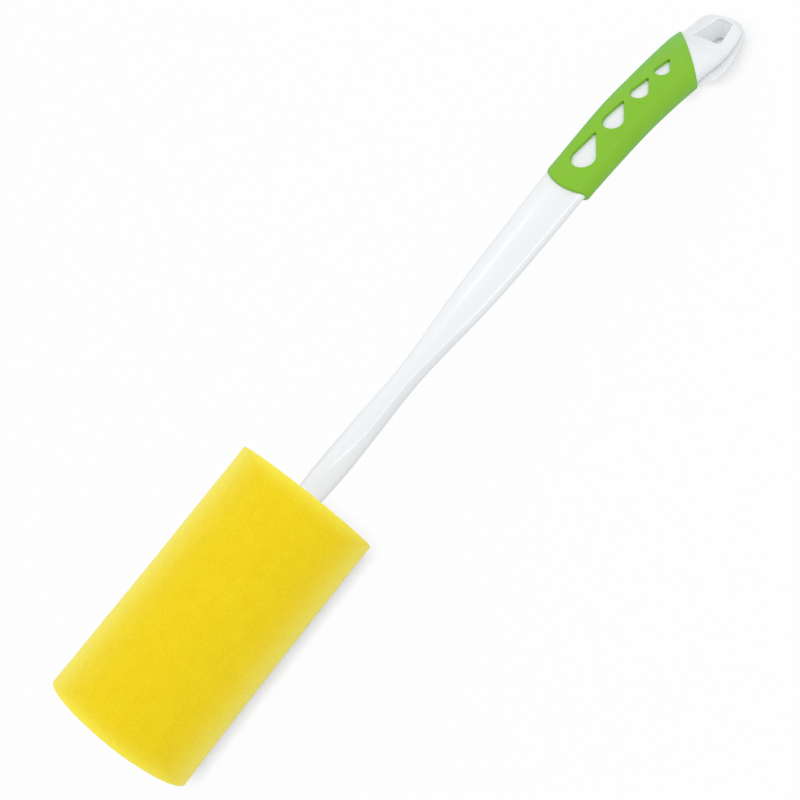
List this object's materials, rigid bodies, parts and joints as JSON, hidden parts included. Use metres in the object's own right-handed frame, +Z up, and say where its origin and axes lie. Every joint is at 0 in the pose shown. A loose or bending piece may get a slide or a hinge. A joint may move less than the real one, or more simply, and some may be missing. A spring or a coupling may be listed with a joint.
{
  "type": "bottle sponge brush",
  "caption": "Bottle cleaning brush: a foam cylinder on the barbed stem of a long curved handle, with a soft grip sleeve and a slot at the tip to hang it by.",
  "frame": {"origin": "middle of the brush's box, on the surface that it lies on", "axes": "+X along the sponge's axis from the sponge to the hanging tip, +Z up, out of the front of the handle"},
  "size_m": [0.3496, 0.055, 0.0549],
  "materials": {
    "handle_plastic": "smooth glossy moulding",
    "sleeve_rubber": "soft satin moulding",
    "sponge_foam": "fine open-cell foam, matt"
  },
  "bodies": {
    "handle": {"handle": "handle_plastic", "grip_sleeve": "sleeve_rubber"},
    "sponge": {"sponge": "sponge_foam"}
  },
  "joints": [
    {"name": "sponge_pull_off", "type": "slide", "parent": "handle", "child": "sponge", "axis": [-1, 0, 0], "range_m": [0, 0.092]}
  ]
}
